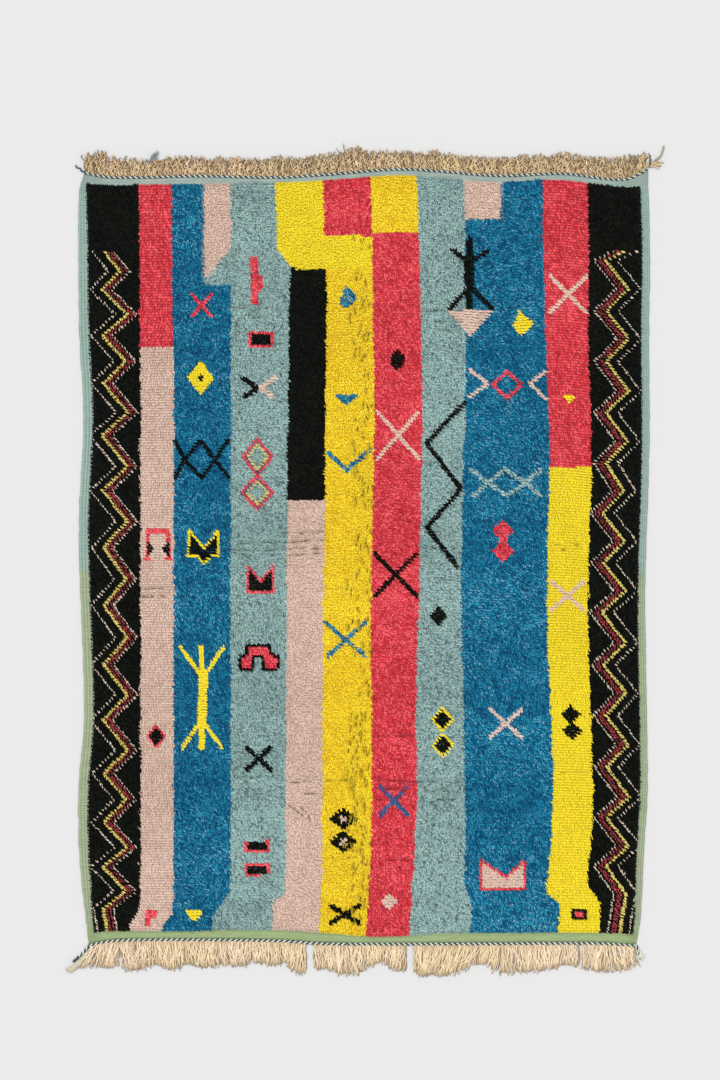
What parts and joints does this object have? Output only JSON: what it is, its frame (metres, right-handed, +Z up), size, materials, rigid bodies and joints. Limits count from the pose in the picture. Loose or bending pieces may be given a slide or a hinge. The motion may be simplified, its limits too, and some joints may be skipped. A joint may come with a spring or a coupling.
{
  "type": "moroccan rug",
  "caption": "Hand-knotted wool rug lying flat, with lengthwise colour stripes, small woven symbols, zigzag side borders, corded selvedges and a twined and fringed end on each short side.",
  "frame": {"origin": "on the floor under the middle of the whole rug, fringes and loose ends included", "axes": "+Y along the length to the short-fringed end, +X across the width, +Z up out of the pile"},
  "size_m": [1.9064, 2.6678, 0.014],
  "materials": {
    "ground_weave": "flatwoven wool, teal grey to sage green, matte",
    "black_wool": "cut wool pile, matte",
    "coral_wool": "cut wool pile, matte",
    "blue_wool": "cut wool pile, heathered, matte",
    "teal_wool": "cut wool pile, heathered, matte",
    "yellow_wool": "cut wool pile, matte",
    "gold_wool": "cut wool pile, matte",
    "blush_wool": "cut wool pile, matte",
    "cream_wool": "cut wool pile, matte",
    "twine_yarn": "two-strand twined wool, blue and cream",
    "fringe_yarn": "undyed plied wool yarn, matte"
  },
  "bodies": {
    "root": {"rug": "ground_weave", "twine_top": "twine_yarn", "twine_bottom": "twine_yarn", "fringe_top": "fringe_yarn", "fringe_bottom": "fringe_yarn"}
  },
  "joints": []
}
